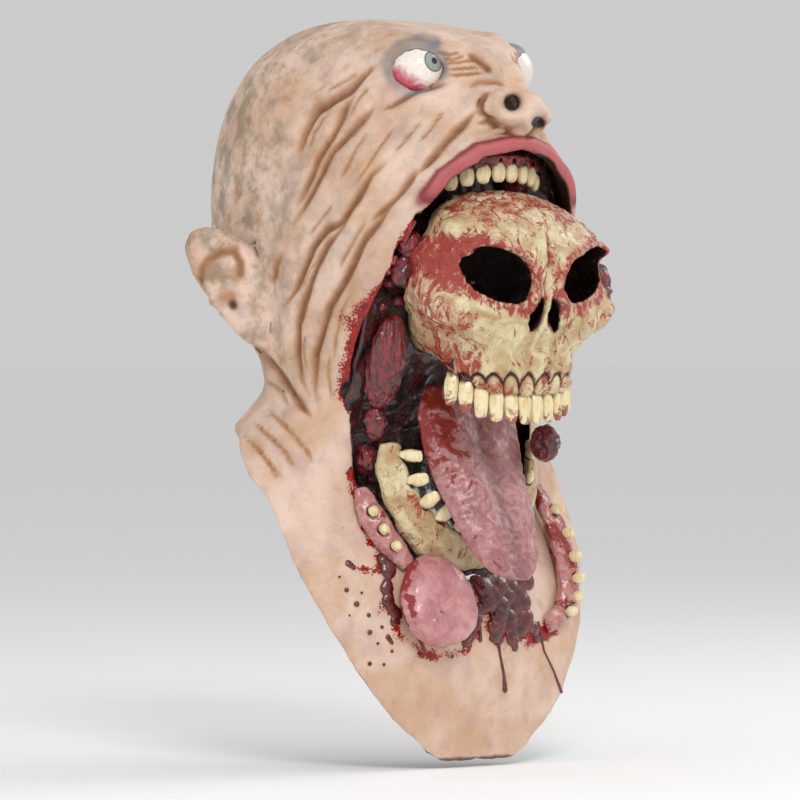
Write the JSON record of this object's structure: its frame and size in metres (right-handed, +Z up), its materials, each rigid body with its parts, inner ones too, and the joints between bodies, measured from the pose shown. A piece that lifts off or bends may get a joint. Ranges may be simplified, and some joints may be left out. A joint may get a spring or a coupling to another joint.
{
  "type": "zombie mask",
  "caption": "Full-head latex zombie mask with a chest bib: a bald screaming face whose torn mouth bursts open round a skull, a long tongue and a dropped jawbone.",
  "frame": {"origin": "inside of the crown on the middle plane, where the mask rests on the wearer's head", "axes": "+Z up along the mask's height, -Y to the front, -X to the mask's own right side"},
  "size_m": [0.2474, 0.2749, 0.4483],
  "materials": {
    "skin_latex": "satin, painted latex",
    "eye_gloss": "high gloss",
    "gum_latex": "wet gloss",
    "tooth_enamel": "semi gloss",
    "bone_latex": "satin, blood wash",
    "tongue_latex": "wet gloss",
    "torn_flesh": "wet gloss",
    "gore_latex": "wet gloss",
    "lump_latex": "wet gloss"
  },
  "bodies": {
    "root": {"berry_lower": "lump_latex", "berry_upper": "lump_latex", "chin_flap": "torn_flesh", "eyeball_left": "eye_gloss", "eyeball_right": "eye_gloss", "gore_bed": "gore_latex", "hanging_lump": "lump_latex", "jaw_tooth_1": "tooth_enamel", "jaw_tooth_10": "tooth_enamel", "jaw_tooth_2": "tooth_enamel", "jaw_tooth_3": "tooth_enamel", "jaw_tooth_4": "tooth_enamel", "jaw_tooth_5": "tooth_enamel", "jaw_tooth_6": "tooth_enamel", "jaw_tooth_7": "tooth_enamel", "jaw_tooth_8": "tooth_enamel", "jaw_tooth_9": "tooth_enamel", "jawbone": "bone_latex", "lip_tooth_left_1": "tooth_enamel", "lip_tooth_left_2": "tooth_enamel", "lip_tooth_left_3": "tooth_enamel", "lip_tooth_left_4": "tooth_enamel", "lip_tooth_left_5": "tooth_enamel", "lip_tooth_left_6": "tooth_enamel", "lip_tooth_right_1": "tooth_enamel", "lip_tooth_right_2": "tooth_enamel", "lip_tooth_right_3": "tooth_enamel", "lower_lump": "lump_latex", "mask_skin": "skin_latex", "muscle_left": "lump_latex", "muscle_right": "lump_latex", "red_lump": "lump_latex", "skull": "bone_latex", "skull_tooth_1": "tooth_enamel", "skull_tooth_10": "tooth_enamel", "skull_tooth_11": "tooth_enamel", "skull_tooth_12": "tooth_enamel", "skull_tooth_2": "tooth_enamel", "skull_tooth_3": "tooth_enamel", "skull_tooth_4": "tooth_enamel", "skull_tooth_5": "tooth_enamel", "skull_tooth_6": "tooth_enamel", "skull_tooth_7": "tooth_enamel", "skull_tooth_8": "tooth_enamel", "skull_tooth_9": "tooth_enamel", "throat_lump": "lump_latex", "tongue": "tongue_latex", "torn_lip_left": "torn_flesh", "torn_lip_right": "torn_flesh", "upper_gum": "gum_latex", "upper_tooth_1": "tooth_enamel", "upper_tooth_2": "tooth_enamel", "upper_tooth_3": "tooth_enamel", "upper_tooth_4": "tooth_enamel", "upper_tooth_5": "tooth_enamel", "upper_tooth_6": "tooth_enamel", "upper_tooth_7": "tooth_enamel", "upper_tooth_8": "tooth_enamel"}
  },
  "joints": []
}
